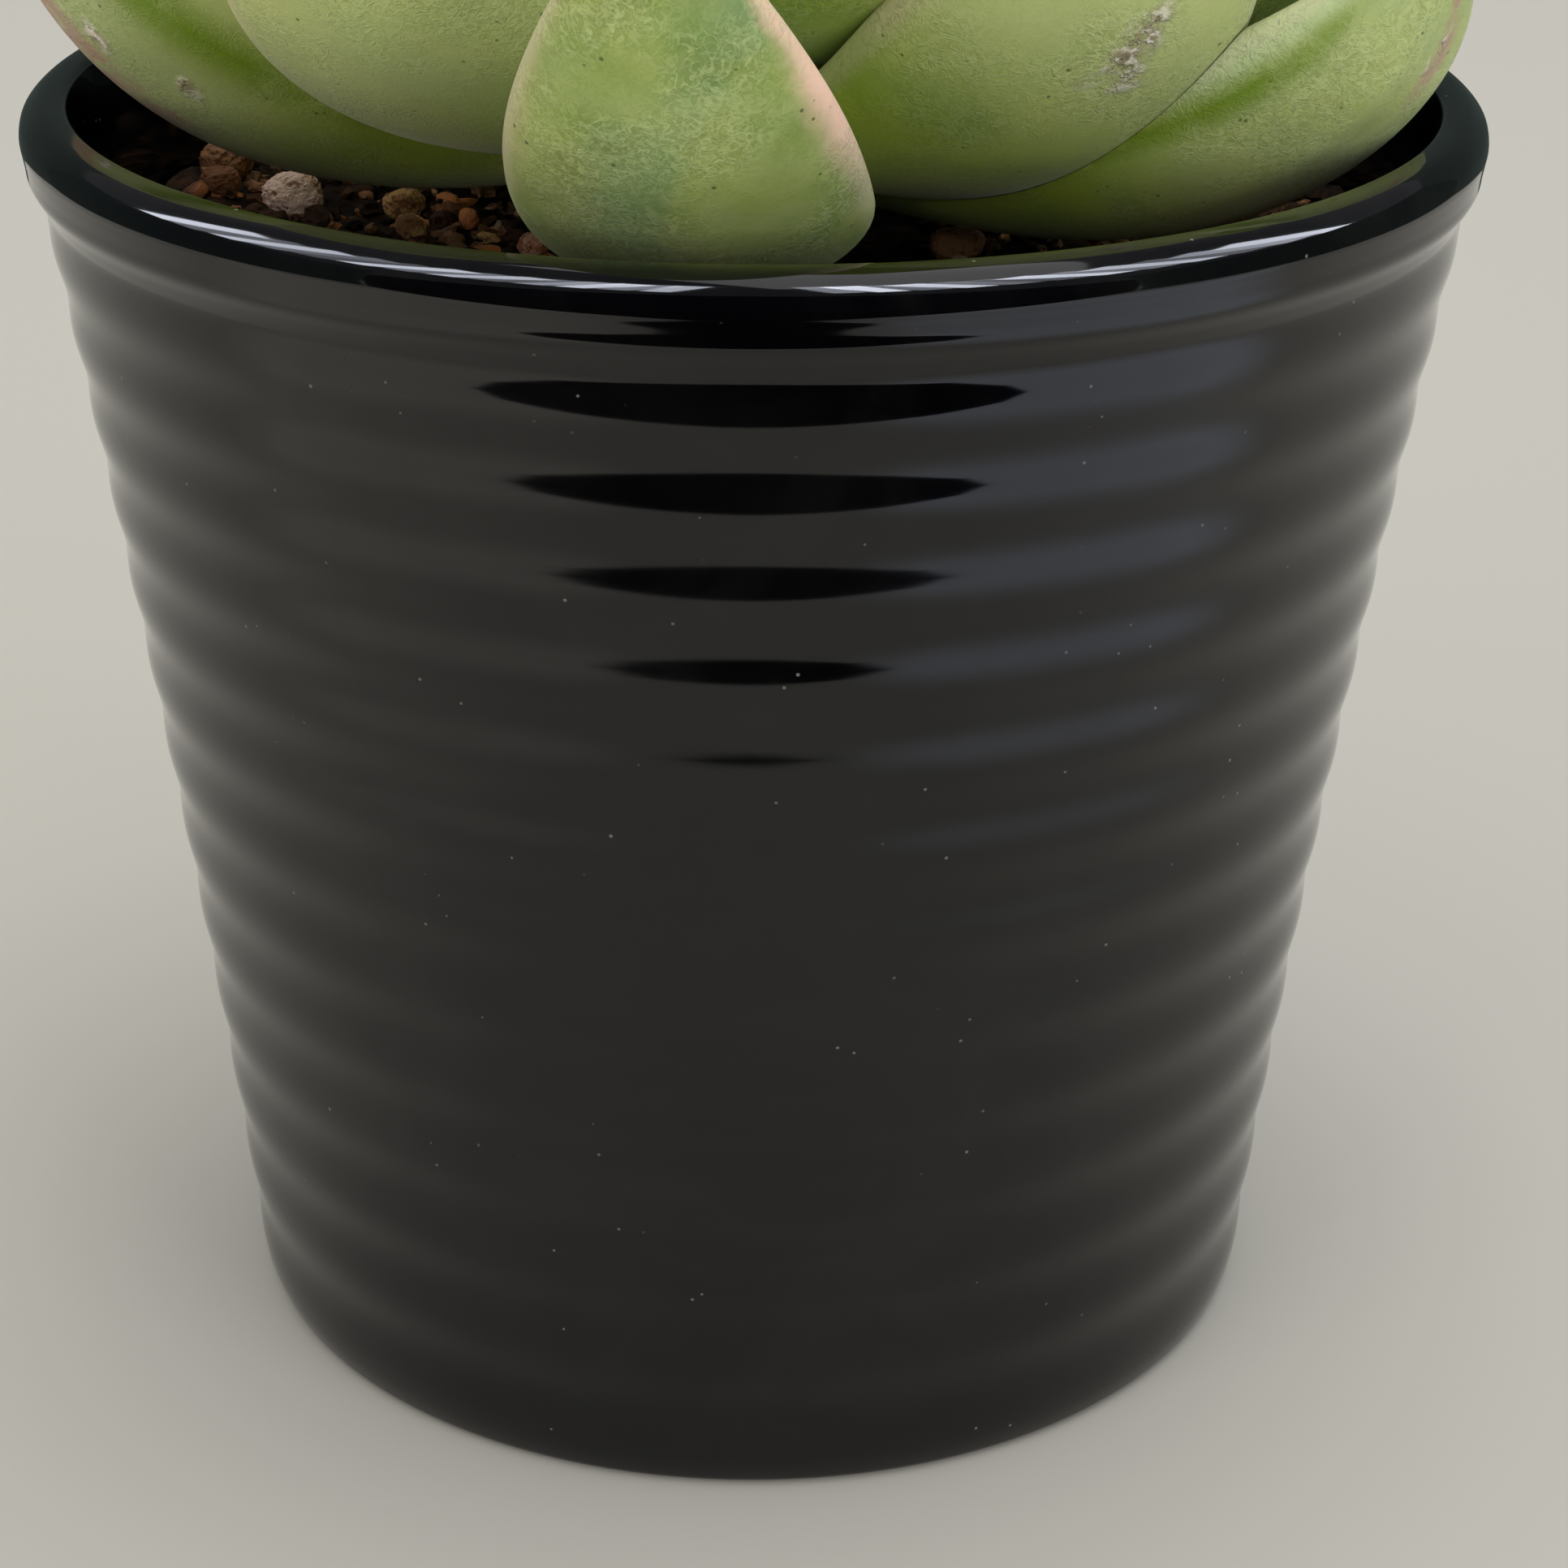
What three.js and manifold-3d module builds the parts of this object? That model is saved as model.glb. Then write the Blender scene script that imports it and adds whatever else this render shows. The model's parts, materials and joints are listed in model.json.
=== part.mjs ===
// A potted rosette succulent: a glazed pot with ribs turned round its wall, gritty soil,
// a short woody stem and a spiral of thick leaves round a tight heart.
// Millimetres, +Z up. The origin is the centre of the pot's foot, and -Y is the front.
import * as THREE from 'three';
import Module from 'manifold-3d';
import { mergeVertices } from 'three/addons/utils/BufferGeometryUtils.js';

const wasm = await Module();
wasm.setup();

// ---------------------------------------------------------------- driving dimensions

const GAP = 0.3;                 // play between pieces that touch

const POT_HEIGHT = 108;
const RIM_RADIUS = 60;           // outside of the rim
const LIP = 4;                   // width of the flat ring on top of the rim
const WALL = 4;                  // wall thickness below the rim
const FLOOR = 6;                 // thickness of the pot's floor
const FOOT_RADIUS = 45.4;        // outside of the wall at the table
const FOOT_ROUND = 1.4;          // rounding of the foot's edge
const TAPER = 0.0992;            // the wall leans out by this much a millimetre...
const FLARE = 0.00031;           // ...and a little more towards the rim
const POT_SIDES = 36;

// The rim from the highest rib up to its flat top: in from its edge, down from its top.
const RIM_CURVE = [
  [1.15, 6.6], [0.5, 5.5], [0.24, 4.1], [0, 2.7], [0.2, 1.6], [0.7, 0.8], [1.5, 0.2], [2.3, 0],
];
const LIP_BEVEL = 0.7;           // on the inner edge of the lip
const INSIDE_HEIGHTS = [99, 81.5, 43.5]; // profile points of the wall's inside

const RIB_RUN = [12.25, -0.5];   // the ribs end here at the foot and the rim, counted from the highest
const TOP_RIB = 96.8;            // height of the highest rib's crest
const RIB_PITCH = 6.94;          // spacing of the ribs at the top...
const PITCH_GROWTH = 0.07;       // ...which widens towards the foot
const RIB_HEIGHT = 0.15;         // half of a rib's depth
const RIB_STEPS = 4;             // profile points a rib

const SOIL_LEVEL = 93.5;
const SOIL_HEAP = 1.8;           // the soil stands higher against the wall...
const HEAP_RADII = [36, 50];     // ...and climbs there between these radii
const SOIL_BUMP = 0.4;
const BUMP_RADII = [8, 16];      // the bumps fade towards the stem
const SOIL_RINGS = 7;
const STONE_STAND = 0.7;         // height of a stone's middle, in half heights
const STONE_SWELL = 0.14;        // unevenness of a stone

const STEM_RADIUS = 6;
const STEM_BOTTOM = 74;
const STEM_TOP = 125;
const STEM_TIP_RADIUS = 4;
const STEM_SIDES = 14;

const LARGE_LEAVES = 24;
const ALL_LEAVES = 40;           // with the small ones of the heart
const FIRST_TURN = 81;           // direction of the lowest leaf, degrees from the front
const GOLDEN_ANGLE = 137.508;
const LOWEST_ROOT = 98.5;        // height of the lowest leaf's root
const ROOT_SPAN = 45;            // the roots climb towards this much above it...
const ROOT_RATE = 28;            // ...by this many leaves
const LEAF_CUP = 0.08;           // upturn of a leaf's margins
const LEAF_BELLY = 0.58;         // share of the thickness below the middle
const LEAF_ROLL = 5;             // the leaves tip to either side by up to this, degrees
const LEAF_BEND = 1.6;           // above 1, a leaf curls up more towards its tip
const ROOT_DEPTH = 1;            // a leaf's form starts this far inside the stem's surface
const TIP_HEIGHT = 9;            // of the growing tip in the heart
const LEAF_STATIONS = 7;
const LEAF_SIDES = 10;
const HEART_STATIONS = 5;
const HEART_SIDES = 6;
const STATION_CROWDING = 1.25;   // above 1, the stations crowd towards the tip
const SPINE_STEPS = 12;          // steps between two stations

// Angles from level and sizes of the lowest leaf, their change towards the youngest, and its power.
const SPIRAL = {
  rootAngle: [-3, 75, 1.35],
  tipAngle: [68, 24, 0.9],
  length: [61, -50, 1.9],
  width: [28, -19.6, 1.7],
  thickness: [8.8, -5.45, 1.4],
};

// How a leaf widens and thickens from its root to its fullest place, and falls away to the tip.
const WIDTH_FORM = { fullest: 0.54, atRoot: 0.42, rise: 1.15, fall: 1.95, blunt: 0.68 };
const THICKNESS_FORM = { fullest: 0.42, atRoot: 0.62, rise: 1, fall: 2, blunt: 0.75 };

// The leaves that the front view shows stand as they do there.
const FRONT_LEAVES = {
  0: {
    turn: 66, height: 102.7, rootAngle: -1, tipAngle: 80.5,
    length: 63, width: 25, roll: -33.5, bend: 2.1,
  },
  2: {
    turn: -6, height: 101.7, rootAngle: -10, tipAngle: 74,
    length: 70, width: 26.4, roll: 3.5, bend: 1.1,
  },
  4: {
    turn: -76.5, height: 106.5, rootAngle: 0.5, tipAngle: 61,
    length: 62.6, width: 30, roll: 49.5, bend: 1.6,
  },
  5: {
    turn: 41, height: 104.6, rootAngle: 0.5, tipAngle: 91,
    length: 59.3, width: 29.7, roll: -21.5, bend: 1.2,
  },
  7: {
    turn: -37.5, height: 109.3, rootAngle: 0, tipAngle: 66,
    length: 59.9, width: 28.6, roll: 19.5, bend: 1.4,
  },
  10: { turn: 15.5, height: 112.7, rootAngle: 17, tipAngle: 76, length: 57, roll: 6.5 },
  13: { turn: 70.5, height: 112, rootAngle: -4.5, tipAngle: 72.5, length: 58, roll: -9 },
};

// ---------------------------------------------------------------- materials

const finish = (color, roughness) => new THREE.MeshStandardMaterial({ color, roughness, metalness: 0 });
const GLAZE = finish(0x17151a, 0.12);
const SOIL = finish(0x35241b, 0.95);
const WOOD = finish(0x6e5a43, 0.85);
const LEAF = finish(0x8fa86a, 0.55);
const YOUNG_LEAF = finish(0x9fbd72, 0.5);
const PUMICE = finish(0xb9a99a, 0.9);
const GRAVEL = finish(0x8f6b4e, 0.9);
const BARK = finish(0x9a5d33, 0.85);

// Grit and bark on the soil: centre, half sizes, turn about the vertical, degrees.
const STONES = [
  { name: 'pumice_large', x: -40, y: 8.9, size: [2.6, 2.4, 2.2], turn: 20, material: PUMICE },
  { name: 'gravel_pink', x: -46.6, y: 16, size: [3, 2.1, 1.9], turn: 75, material: GRAVEL },
  { name: 'gravel_brown', x: -46.3, y: 9, size: [1.7, 1.5, 1.3], turn: 10, material: GRAVEL },
  { name: 'gravel_tan', x: -30.4, y: 8.6, size: [1.9, 1.5, 1.3], turn: 40, material: GRAVEL },
  { name: 'gravel_orange', x: -29.3, y: 2.6, size: [1.6, 1.3, 1.2], turn: 110, material: GRAVEL },
  { name: 'gravel_pale', x: -18.4, y: -3.3, size: [1.3, 1.1, 1], turn: 0, material: PUMICE },
  { name: 'bark_1', x: -26.8, y: 10.8, size: [1.6, 0.7, 0.7], turn: -54, material: BARK },
  { name: 'bark_2', x: -24.6, y: 5.9, size: [1.8, 0.8, 0.8], turn: -75, material: BARK },
  { name: 'gravel_right', x: 39.2, y: 8.7, size: [1.3, 1.1, 1], turn: 30, material: GRAVEL },
  { name: 'pumice_back', x: -14, y: 47, size: [2.3, 1.9, 1.7], turn: 80, material: PUMICE },
  { name: 'gravel_front', x: 17, y: -1.9, size: [2.3, 1.7, 1.4], turn: 10, material: GRAVEL },
  { name: 'bark_back', x: 20, y: 43.5, size: [3.1, 1.1, 0.9], turn: 15, material: BARK },
];

// ---------------------------------------------------------------- helpers

const rad = THREE.MathUtils.degToRad;

// A repeatable draw between -1 and 1 for each whole number.
function draw(k) {
  const x = Math.sin(k * 127.1 + 311.7) * 43758.5453;
  return 2 * (x - Math.floor(x)) - 1;
}

// A closed surface through rings of points, with a fan at each end.
function skin(rings, start, end) {
  const sides = rings[0].length;
  const points = [start, ...rings.flat(), end];
  const faces = [];
  for (let j = 0; j < sides; j += 1) {
    const next = (j + 1) % sides;
    faces.push(0, 1 + next, 1 + j);
    for (let i = 0; i + 1 < rings.length; i += 1) {
      const low = 1 + i * sides;
      const high = low + sides;
      faces.push(low + j, low + next, high + next, low + j, high + next, high + j);
    }
    const last = 1 + (rings.length - 1) * sides;
    faces.push(last + j, last + next, points.length - 1);
  }
  const geometry = new THREE.BufferGeometry().setFromPoints(points);
  geometry.setIndex(faces);
  return geometry;
}

function welded(geometry) {
  const copy = geometry.clone();
  copy.deleteAttribute('normal');
  copy.deleteAttribute('uv');
  return mergeVertices(copy, 1e-4);
}

function toSolid(geometry) {
  const merged = welded(geometry);
  const mesh = new wasm.Mesh({
    numProp: 3,
    vertProperties: new Float32Array(merged.attributes.position.array),
    triVerts: new Uint32Array(merged.index.array),
  });
  return new wasm.Manifold(mesh);
}

function toGeometry(solid) {
  const mesh = solid.getMesh();
  const geometry = new THREE.BufferGeometry();
  geometry.setAttribute('position', new THREE.BufferAttribute(new Float32Array(mesh.vertProperties), 3));
  geometry.setIndex(Array.from(mesh.triVerts));
  return geometry;
}

// The largest of the bodies that a cut leaves.
function largest(solid) {
  const bodies = solid.decompose();
  return bodies.reduce((best, body) => (body.volume() > best.volume() ? body : best));
}

function boxesMeet(a, b) {
  const p = a.boundingBox();
  const q = b.boundingBox();
  return [0, 1, 2].every((i) => p.min[i] < q.max[i] && q.min[i] < p.max[i]);
}

const model = new THREE.Group();
function add(name, geometry, material) {
  const mesh = new THREE.Mesh(geometry, material);
  mesh.name = name;
  model.add(mesh);
}

function lathe(profile, sides) {
  const points = profile.map(([r, z]) => new THREE.Vector2(r, z));
  return new THREE.LatheGeometry(points, sides).rotateX(Math.PI / 2);
}

// ---------------------------------------------------------------- pot

const wallRadius = (z) => FOOT_RADIUS + TAPER * z + FLARE * z * z;

// Height of a place on the wall, counted in ribs down from the highest crest.
const ribHeight = (count) => TOP_RIB - RIB_PITCH * count - PITCH_GROWTH * count * count;

function ribCount(z) {
  const drop = TOP_RIB - z;
  return (Math.sqrt(RIB_PITCH * RIB_PITCH + 4 * PITCH_GROWTH * drop) - RIB_PITCH) / (2 * PITCH_GROWTH);
}

const ribbedRadius = (z) => wallRadius(z) + RIB_HEIGHT * Math.cos(2 * Math.PI * ribCount(z));
const innerRadius = (z) => Math.min(wallRadius(z) - WALL, RIM_RADIUS - LIP);

function potProfile() {
  const foot = [FOOT_RADIUS - 0.3 * FOOT_ROUND, 0.4 * FOOT_ROUND];
  const profile = [[0, 0], [FOOT_RADIUS - FOOT_ROUND, 0], foot];
  const [lowest, highest] = RIB_RUN;
  for (let step = 0; step <= (lowest - highest) * RIB_STEPS; step += 1) {
    const z = ribHeight(lowest - step / RIB_STEPS);
    profile.push([ribbedRadius(z), z]);
  }
  for (const [inset, drop] of RIM_CURVE) profile.push([RIM_RADIUS - inset, POT_HEIGHT - drop]);
  const mouth = RIM_RADIUS - LIP;
  profile.push([mouth + LIP_BEVEL, POT_HEIGHT], [mouth, POT_HEIGHT - LIP_BEVEL]);
  for (const z of INSIDE_HEIGHTS) profile.push([innerRadius(z), z]);
  profile.push([innerRadius(FLOOR), FLOOR], [0, FLOOR]);
  return profile;
}

// ---------------------------------------------------------------- soil and stem

const stemRadius = (z) => {
  const share = THREE.MathUtils.clamp((z - LOWEST_ROOT) / (STEM_TOP - LOWEST_ROOT), 0, 1);
  return STEM_RADIUS + (STEM_TIP_RADIUS - STEM_RADIUS) * share ** 1.5;
};

const stemHeights = () => [0, 0.25, 0.5, 0.75, 1].map((t) => LOWEST_ROOT + t * (STEM_TOP - LOWEST_ROOT));

function stemProfile() {
  const profile = [[0, STEM_BOTTOM], [STEM_RADIUS - 1.5, STEM_BOTTOM], [STEM_RADIUS, STEM_BOTTOM + 2.5]];
  for (const z of stemHeights()) profile.push([stemRadius(z), z]);
  profile.push([0, STEM_TOP]);
  return profile;
}

function soilHeight(x, y) {
  const r = Math.hypot(x, y);
  const heap = SOIL_HEAP * THREE.MathUtils.smoothstep(r, ...HEAP_RADII);
  const waves = Math.sin(0.33 * x + 1.1) * Math.cos(0.29 * y) + 0.6 * Math.sin(0.61 * y - 0.47 * x);
  return SOIL_LEVEL + heap + SOIL_BUMP * waves * THREE.MathUtils.smoothstep(r, ...BUMP_RADII);
}

function soilGeometry(raise = 0) {
  const bottom = FLOOR + GAP;
  const side = (z) => innerRadius(z) - GAP;
  const hole = STEM_RADIUS + GAP;
  const profile = [[0, bottom], [side(bottom), bottom]];
  const buried = INSIDE_HEIGHTS.filter((z) => z < SOIL_LEVEL).reverse();
  for (const z of buried) profile.push([side(z), z]);
  const rim = side(SOIL_LEVEL);
  for (let ring = 0; ring <= SOIL_RINGS; ring += 1) {
    profile.push([rim + (hole - rim) * (ring / SOIL_RINGS), SOIL_LEVEL]);
  }
  profile.push([hole, STEM_BOTTOM - GAP], [0, STEM_BOTTOM - GAP]);
  const geometry = lathe(profile, POT_SIDES);
  const place = geometry.attributes.position;
  for (let i = 0; i < place.count; i += 1) {
    const onTop = Math.abs(place.getZ(i) - SOIL_LEVEL) < 1e-3;
    if (onTop) place.setZ(i, soilHeight(place.getX(i), place.getY(i)) + raise);
  }
  return geometry;
}

// ---------------------------------------------------------------- leaves

// A leaf's attitude and size follow its place in the spiral, counted from the lowest.
function leafForm(n) {
  const form = {
    turn: FIRST_TURN + GOLDEN_ANGLE * n,
    height: LOWEST_ROOT + ROOT_SPAN * (1 - Math.exp(-n / ROOT_RATE)),
    roll: LEAF_ROLL * draw(n + 3),
    bend: LEAF_BEND,
  };
  for (const [key, [first, change, power]] of Object.entries(SPIRAL)) {
    form[key] = first + change * (n / ALL_LEAVES) ** power;
  }
  return { ...form, ...FRONT_LEAVES[n] };
}

// The share of its full width or thickness that a leaf has at the share s of its length.
function fullness({ fullest, atRoot, rise, fall, blunt }, s) {
  if (s < fullest) return atRoot + (1 - atRoot) * Math.sin((Math.PI / 2) * (s / fullest)) ** rise;
  const out = (s - fullest) / (1 - fullest);
  return (1 - out ** fall) ** blunt;
}

// One thick leaf: rings across a spine that leaves the stem nearly level and curls up.
// Growing it adds the given play on all sides.
function leafGeometry(form, stations, sides, grow = 0) {
  const out = new THREE.Vector3(Math.sin(rad(form.turn)), -Math.cos(rad(form.turn)), 0);
  const side = new THREE.Vector3(Math.cos(rad(form.turn)), Math.sin(rad(form.turn)), 0);
  const up = new THREE.Vector3(0, 0, 1);
  const angleAt = (s) => rad(form.rootAngle + (form.tipAngle - form.rootAngle) * s ** form.bend);
  const along = (s) => out.clone().multiplyScalar(Math.cos(angleAt(s)))
    .addScaledVector(up, Math.sin(angleAt(s)));
  const spine = out.clone().multiplyScalar(stemRadius(form.height) - ROOT_DEPTH)
    .addScaledVector(up, form.height);
  const rings = [];
  let done = 0;
  let root;
  for (let i = 0; i <= stations; i += 1) {
    const s = 1 - (1 - i / stations) ** STATION_CROWDING;
    const piece = (s - done) / SPINE_STEPS;
    for (let k = 0; k < SPINE_STEPS; k += 1) {
      spine.addScaledVector(along(done + (k + 0.5) * piece), form.length * piece);
    }
    done = s;
    if (i === 0) root = spine.clone();
    if (i === stations) break;
    const angle = angleAt(s);
    const normal = out.clone().multiplyScalar(-Math.sin(angle)).addScaledVector(up, Math.cos(angle));
    const across = side.clone().multiplyScalar(Math.cos(rad(form.roll)))
      .addScaledVector(normal, Math.sin(rad(form.roll)));
    const lift = normal.clone().multiplyScalar(Math.cos(rad(form.roll)))
      .addScaledVector(side, -Math.sin(rad(form.roll)));
    const halfWidth = (form.width / 2) * fullness(WIDTH_FORM, s) + grow;
    const thickness = form.thickness * fullness(THICKNESS_FORM, s);
    const ring = [];
    for (let j = 0; j < sides; j += 1) {
      const u = (2 * Math.PI * j) / sides;
      const share = Math.sin(u) > 0 ? 1 - LEAF_BELLY : LEAF_BELLY;
      const x = halfWidth * Math.cos(u);
      const y = (thickness * share + grow) * Math.sin(u) + LEAF_CUP * halfWidth * Math.cos(u) ** 2;
      ring.push(spine.clone().addScaledVector(across, x).addScaledVector(lift, y));
    }
    rings.push(ring);
  }
  const rootWay = along(0);
  for (const point of [root, ...rings[0]]) point.addScaledVector(rootWay, -grow);
  return skin(rings, root, spine.addScaledVector(along(1), 2 * grow));
}

// ---------------------------------------------------------------- the pieces in place

// The stem with play round it: what sits on the stem is cut back to this.
function stemClearance() {
  const profile = [[0, STEM_BOTTOM], [STEM_RADIUS + GAP, STEM_BOTTOM]];
  for (const z of stemHeights()) profile.push([stemRadius(z) + GAP, z]);
  profile.push([STEM_TIP_RADIUS + GAP, STEM_TOP + GAP], [0, STEM_TOP + GAP]);
  return toSolid(lathe(profile, STEM_SIDES));
}

// The small leaves round the growing tip are one piece with the tip itself.
function heartSolid(grow) {
  const tip = new THREE.SphereGeometry(1, HEART_SIDES, 6).rotateX(Math.PI / 2);
  tip.scale(STEM_TIP_RADIUS + grow, STEM_TIP_RADIUS + grow, TIP_HEIGHT + grow);
  tip.translate(0, 0, STEM_TOP + 1);
  let heart = toSolid(tip);
  for (let n = LARGE_LEAVES; n < ALL_LEAVES; n += 1) {
    heart = heart.add(toSolid(leafGeometry(leafForm(n), HEART_STATIONS, HEART_SIDES, grow)));
  }
  return heart.subtract(stemClearance());
}

// Each large leaf gives way to the younger ones that press on it.
function addLeaves() {
  const stem = stemClearance();
  const grown = [];
  for (let n = 0; n < LARGE_LEAVES; n += 1) {
    grown.push(toSolid(leafGeometry(leafForm(n), LEAF_STATIONS, LEAF_SIDES, GAP)));
  }
  grown.push(heartSolid(GAP));
  for (let n = 0; n < LARGE_LEAVES; n += 1) {
    let leaf = toSolid(leafGeometry(leafForm(n), LEAF_STATIONS, LEAF_SIDES)).subtract(stem);
    for (const younger of grown.slice(n + 1)) {
      if (boxesMeet(leaf, younger)) leaf = leaf.subtract(younger);
    }
    add(`leaf_${String(n).padStart(2, '0')}`, toGeometry(largest(leaf)), LEAF);
  }
}

// A stone or a piece of bark is a lump bedded in the soil.
function addStones() {
  const soil = toSolid(soilGeometry(GAP));
  STONES.forEach(({ name, x, y, size, turn, material }, k) => {
    const lump = welded(new THREE.IcosahedronGeometry(1, 1));
    const place = lump.attributes.position;
    for (let i = 0; i < place.count; i += 1) {
      const swell = 1 + STONE_SWELL * draw(97 * k + i);
      place.setXYZ(i, swell * place.getX(i), swell * place.getY(i), swell * place.getZ(i));
    }
    lump.scale(...size).rotateZ(rad(turn)).translate(x, y, soilHeight(x, y) + STONE_STAND * size[2]);
    add(name, toGeometry(largest(toSolid(lump).subtract(soil))), material);
  });
}

add('pot', lathe(potProfile(), POT_SIDES), GLAZE);
add('soil', soilGeometry(), SOIL);
add('stem', lathe(stemProfile(), STEM_SIDES), WOOD);
addLeaves();
add('rosette_heart', toGeometry(largest(heartSolid(0))), YOUNG_LEAF);
addStones();

export default model;
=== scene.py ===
"""Looks for a potted rosette succulent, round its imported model.

The sizes below are millimetres, as in the model; every mesh is made in metres.
+Z is up and -Y is the front."""
import json
import math

import bpy
import numpy as np
from mathutils import Matrix, Vector, noise
from mathutils.bvhtree import BVHTree
from mathutils.kdtree import KDTree

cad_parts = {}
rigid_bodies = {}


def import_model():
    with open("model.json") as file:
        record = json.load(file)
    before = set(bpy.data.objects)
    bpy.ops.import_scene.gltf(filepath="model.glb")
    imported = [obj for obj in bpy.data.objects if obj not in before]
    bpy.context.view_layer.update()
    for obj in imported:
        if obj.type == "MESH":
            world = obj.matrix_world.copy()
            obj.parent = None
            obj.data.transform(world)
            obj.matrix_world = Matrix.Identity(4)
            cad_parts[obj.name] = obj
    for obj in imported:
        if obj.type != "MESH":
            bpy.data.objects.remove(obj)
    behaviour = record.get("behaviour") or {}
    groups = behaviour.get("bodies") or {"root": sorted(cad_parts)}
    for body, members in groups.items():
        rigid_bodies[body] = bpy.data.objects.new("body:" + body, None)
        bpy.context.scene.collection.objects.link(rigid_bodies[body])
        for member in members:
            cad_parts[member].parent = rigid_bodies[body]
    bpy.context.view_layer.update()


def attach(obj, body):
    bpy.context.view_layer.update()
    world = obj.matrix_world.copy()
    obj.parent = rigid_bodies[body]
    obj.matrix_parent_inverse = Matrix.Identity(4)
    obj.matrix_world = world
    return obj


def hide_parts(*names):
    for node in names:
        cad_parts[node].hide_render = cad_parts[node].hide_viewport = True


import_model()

# ------------------------------------------------------------------ sizes, millimetres

MM = 0.001
GAP = 0.3                 # play between pieces that touch
LEAF_PLAY = 0.08          # between leaves that press on each other

CAMERA_PLACE = (2.85, -292.42, 174.3)
CAMERA_DOWN = 24.016      # degrees below the level
CAMERA_ROLL = 0.478
FOCAL_LENGTH = 81.59
SENSOR_WIDTH = 36

POT_HEIGHT = 108
RIM_RADIUS = 60
LIP = 4
WALL = 4
FLOOR = 6
FOOT_RADIUS = 45.4
FOOT_ROUND = 1.4
TAPER = 0.0992
FLARE = 0.00031
POT_SIDES = 240

# The rim from the highest rib up to its flat top: in from its edge, down from its top.
RIM_CURVE = [
    (1.15, 6.6), (0.45, 5.4), (0.27, 4.3), (0.1, 3.3), (0, 2.5),
    (0.2, 1.5), (0.7, 0.8), (1.5, 0.2), (2.3, 0),
]
LIP_BEVEL = 0.7

RIB_RUN = (12.25, -0.5)   # the ribs end here at the foot and the rim, counted from the highest
TOP_RIB = 96.8
RIB_PITCH = 6.94
PITCH_GROWTH = 0.07
RIB_HEIGHT = 0.15
RIB_STEPS = 12
THROWING_WAVE = 0.02      # unevenness of the turned wall
THROWING_RUN = (22, 9)    # how far one such wave runs round the wall and up it
THROWN_WALL = (3, 101)    # from and to height

SOIL_LEVEL = 93.5
SOIL_HEAP = 1.8
HEAP_RING = (36, 50)      # the soil rises between these radii
SOIL_BUMP = 0.4
BUMP_RING = (8, 16)       # and grows bumpy between these
SOIL_ROUGH = 0.7          # fine lumps on top of the model's soil
LUMP_SIZES = (2.6, 0.9)
STONE_STAND = 0.7
STONE_BLUNT = 0.86        # below 1 a stone is boxier than an egg

STEM_RADIUS = 6
STEM_BOTTOM = 74
STEM_TOP = 125
STEM_TIP_RADIUS = 4

LARGE_LEAVES = 24
ALL_LEAVES = 40
FIRST_TURN = 81
GOLDEN_ANGLE = 137.508
LOWEST_ROOT = 98.5
ROOT_SPAN = 45
ROOT_RATE = 28
LEAF_CUP = 0.08
LEAF_BELLY = 0.58
LEAF_ROLL = 5
LEAF_BEND = 1.6
ROOT_DEPTH = 1
TIP_HEIGHT = 9
POINT_LENGTH = 0.02       # the leaf's small hard point, as a share of its length
POINT_RADIUS = 0.75
KEEL_HEIGHT = 0.35
KEEL_WIDTH = 0.16         # as a share of the leaf's half width

# Waves of a leaf's margin: their height, how close they are, and their shift from leaf to leaf.
MARGIN_WAVES = [(0.16, 9, 2.3), (0.1, 17, 1)]

# Rings of points along a leaf and points in each ring.
LARGE_GRID = (64, 56)
SMALL_GRID = (36, 32)
CUTTER_GRID = (48, 48)

# Angles from level and sizes of the lowest leaf, their change towards the youngest, and its power.
SPIRAL = {
    "root": (-3, 75, 1.35),
    "tip": (68, 24, 0.9),
    "length": (61, -50, 1.9),
    "width": (28, -19.6, 1.7),
    "thickness": (8.8, -5.45, 1.4),
}

# A leaf's fullest place, its share at the root, and the powers of its rise and fall.
WIDTH_FORM = (0.54, 0.42, 1.15, 1.95, 0.68)
THICKNESS_FORM = (0.42, 0.62, 1, 2, 0.75)

FRONT_LEAVES = {
    0: dict(turn=66, height=102.7, root=-1, tip=80.5, length=63, width=25, roll=-33.5, bend=2.1),
    2: dict(turn=-6, height=101.7, root=-10, tip=74, length=70, width=26.4, roll=3.5, bend=1.1),
    4: dict(turn=-76.5, height=106.5, root=0.5, tip=61, length=62.6, width=30, roll=49.5, bend=1.6),
    5: dict(turn=41, height=104.6, root=0.5, tip=91, length=59.3, width=29.7, roll=-21.5, bend=1.2),
    7: dict(turn=-37.5, height=109.3, root=0, tip=66, length=59.9, width=28.6, roll=19.5, bend=1.4),
    10: dict(turn=15.5, height=112.7, root=17, tip=76, length=57, roll=6.5),
    13: dict(turn=70.5, height=112, root=-4.5, tip=72.5, length=58, roll=-9),
}

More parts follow.
